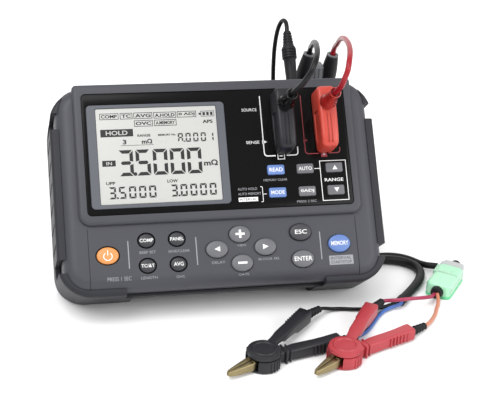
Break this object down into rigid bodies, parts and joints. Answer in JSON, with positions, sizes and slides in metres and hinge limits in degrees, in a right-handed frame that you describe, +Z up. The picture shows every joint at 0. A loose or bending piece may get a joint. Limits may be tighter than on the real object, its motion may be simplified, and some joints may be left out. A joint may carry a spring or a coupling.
{
  "type": "portable resistance tester",
  "caption": "Portable four-terminal low-resistance tester in a rubber guard, leaning on its folding stand, with plugs, leads and Kelvin clips.",
  "frame": {"origin": "bottom centre of the instrument on its open stand, measured without the leads", "axes": "+X to the right of the display, +Y towards the back where the stand is, +Z up"},
  "size_m": [0.2609, 0.2749, 0.1586],
  "materials": {
    "case": "fine matt grain",
    "guard": "matt elastomer",
    "panel": "gloss",
    "bezel": "satin",
    "display": "clear over grey",
    "socket_plastic": "gloss",
    "board": "solder mask",
    "battery_cells": "sleeved metal cans",
    "screw": "bright",
    "key_orange": "satin",
    "key_blue": "satin",
    "key_grey": "satin",
    "key_dark": "satin",
    "black_plastic": "satin",
    "red_plastic": "satin",
    "black_cord": "matt",
    "red_cord": "satin",
    "crimson_wire": "satin",
    "orange_wire": "satin",
    "blue_wire": "satin",
    "junction": "satin",
    "mint_plastic": "translucent",
    "jaw": "worn"
  },
  "bodies": {
    "instrument": {"front_cover": "case", "rear_cover": "case", "battery_cover": "case", "rubber_guard": "guard", "face_panel": "panel", "lcd_bezel": "bezel", "lcd_module": "display", "terminal_block": "socket_plastic", "sensor_jack": "socket_plastic", "main_board": "board", "battery_pack": "battery_cells", "case_screw_left": "screw", "case_screw_right": "screw", "black_plug": "black_plastic", "sensor_plug": "black_plastic", "sensor_tip": "black_plastic", "cable_split": "black_plastic", "black_clip_fixed_grip": "black_plastic", "red_plug": "red_plastic", "red_clip_fixed_grip": "red_plastic", "black_lead": "black_cord", "sensor_cord": "black_cord", "cable_drop": "black_cord", "cable_coil": "black_cord", "cable_run": "black_cord", "black_strand": "black_cord", "red_strand": "black_cord", "black_wire": "black_cord", "red_lead": "red_cord", "crimson_wire": "crimson_wire", "orange_wire": "orange_wire", "blue_wire": "blue_wire", "lead_junction": "junction", "inline_connector": "mint_plastic", "black_clip_fixed_jaw": "jaw", "red_clip_fixed_jaw": "jaw"},
    "key_power": {"key_power": "key_orange"},
    "key_comp": {"key_comp": "key_dark"},
    "key_panel": {"key_panel": "key_dark"},
    "key_tc": {"key_tc": "key_dark"},
    "key_avg": {"key_avg": "key_dark"},
    "key_left": {"key_left": "key_grey"},
    "key_plus": {"key_plus": "key_grey"},
    "key_minus": {"key_minus": "key_grey"},
    "key_right": {"key_right": "key_grey"},
    "key_esc": {"key_esc": "key_dark"},
    "key_enter": {"key_enter": "key_grey"},
    "key_memory": {"key_memory": "key_blue"},
    "key_read": {"key_read": "key_blue"},
    "key_mode": {"key_mode": "key_blue"},
    "key_auto": {"key_auto": "key_grey"},
    "key_zero_adjust": {"key_zero_adjust": "key_grey"},
    "key_range_up": {"key_range_up": "key_grey"},
    "key_range_down": {"key_range_down": "key_grey"},
    "stand": {"stand": "black_plastic"},
    "black_clip_moving_half": {"black_clip_moving_grip": "black_plastic", "black_clip_moving_jaw": "jaw"},
    "red_clip_moving_half": {"red_clip_moving_grip": "red_plastic", "red_clip_moving_jaw": "jaw"}
  },
  "joints": [
    {"name": "press_power", "type": "slide", "parent": "instrument", "child": "key_power", "axis": [0, 0.7771, -0.6293], "range_m": [0, 0.001], "stiffness_N_per_m": 500, "springref_m": -0.0008},
    {"name": "press_comp", "type": "slide", "parent": "instrument", "child": "key_comp", "axis": [0, 0.7771, -0.6293], "range_m": [0, 0.001], "stiffness_N_per_m": 500, "springref_m": -0.0008},
    {"name": "press_panel", "type": "slide", "parent": "instrument", "child": "key_panel", "axis": [0, 0.7771, -0.6293], "range_m": [0, 0.001], "stiffness_N_per_m": 500, "springref_m": -0.0008},
    {"name": "press_tc", "type": "slide", "parent": "instrument", "child": "key_tc", "axis": [0, 0.7771, -0.6293], "range_m": [0, 0.001], "stiffness_N_per_m": 500, "springref_m": -0.0008},
    {"name": "press_avg", "type": "slide", "parent": "instrument", "child": "key_avg", "axis": [0, 0.7771, -0.6293], "range_m": [0, 0.001], "stiffness_N_per_m": 500, "springref_m": -0.0008},
    {"name": "press_left", "type": "slide", "parent": "instrument", "child": "key_left", "axis": [0, 0.7771, -0.6293], "range_m": [0, 0.001], "stiffness_N_per_m": 500, "springref_m": -0.0008},
    {"name": "press_plus", "type": "slide", "parent": "instrument", "child": "key_plus", "axis": [0, 0.7771, -0.6293], "range_m": [0, 0.001], "stiffness_N_per_m": 500, "springref_m": -0.0008},
    {"name": "press_minus", "type": "slide", "parent": "instrument", "child": "key_minus", "axis": [0, 0.7771, -0.6293], "range_m": [0, 0.001], "stiffness_N_per_m": 500, "springref_m": -0.0008},
    {"name": "press_right", "type": "slide", "parent": "instrument", "child": "key_right", "axis": [0, 0.7771, -0.6293], "range_m": [0, 0.001], "stiffness_N_per_m": 500, "springref_m": -0.0008},
    {"name": "press_esc", "type": "slide", "parent": "instrument", "child": "key_esc", "axis": [0, 0.7771, -0.6293], "range_m": [0, 0.001], "stiffness_N_per_m": 500, "springref_m": -0.0008},
    {"name": "press_enter", "type": "slide", "parent": "instrument", "child": "key_enter", "axis": [0, 0.7771, -0.6293], "range_m": [0, 0.001], "stiffness_N_per_m": 500, "springref_m": -0.0008},
    {"name": "press_memory", "type": "slide", "parent": "instrument", "child": "key_memory", "axis": [0, 0.7771, -0.6293], "range_m": [0, 0.001], "stiffness_N_per_m": 500, "springref_m": -0.0008},
    {"name": "press_read", "type": "slide", "parent": "instrument", "child": "key_read", "axis": [0, 0.7771, -0.6293], "range_m": [0, 0.001], "stiffness_N_per_m": 500, "springref_m": -0.0008},
    {"name": "press_mode", "type": "slide", "parent": "instrument", "child": "key_mode", "axis": [0, 0.7771, -0.6293], "range_m": [0, 0.001], "stiffness_N_per_m": 500, "springref_m": -0.0008},
    {"name": "press_auto", "type": "slide", "parent": "instrument", "child": "key_auto", "axis": [0, 0.7771, -0.6293], "range_m": [0, 0.001], "stiffness_N_per_m": 500, "springref_m": -0.0008},
    {"name": "press_zero_adjust", "type": "slide", "parent": "instrument", "child": "key_zero_adjust", "axis": [0, 0.7771, -0.6293], "range_m": [0, 0.001], "stiffness_N_per_m": 500, "springref_m": -0.0008},
    {"name": "press_range_up", "type": "slide", "parent": "instrument", "child": "key_range_up", "axis": [0, 0.7771, -0.6293], "range_m": [0, 0.001], "stiffness_N_per_m": 500, "springref_m": -0.0008},
    {"name": "press_range_down", "type": "slide", "parent": "instrument", "child": "key_range_down", "axis": [0, 0.7771, -0.6293], "range_m": [0, 0.001], "stiffness_N_per_m": 500, "springref_m": -0.0008},
    {"name": "stand_fold", "type": "hinge", "parent": "instrument", "child": "stand", "pos_m": [0, 0.03501, 0.06696], "axis": [1, 0, 0], "range_deg": [-58.6, 0]},
    {"name": "black_clip_squeeze", "type": "hinge", "parent": "instrument", "child": "black_clip_moving_half", "pos_m": [0.012, -0.1105, 0.006], "axis": [0, 0, -1], "range_deg": [0, 12], "stiffness_Nm_per_rad": 0.25, "springref_deg": -17.19, "deforming": ["black_wire"]},
    {"name": "red_clip_squeeze", "type": "hinge", "parent": "instrument", "child": "red_clip_moving_half", "pos_m": [0.0592, -0.1125, 0.006], "axis": [0, 0, -1], "range_deg": [0, 12], "stiffness_Nm_per_rad": 0.25, "springref_deg": -17.19, "deforming": ["crimson_wire"]}
  ]
}
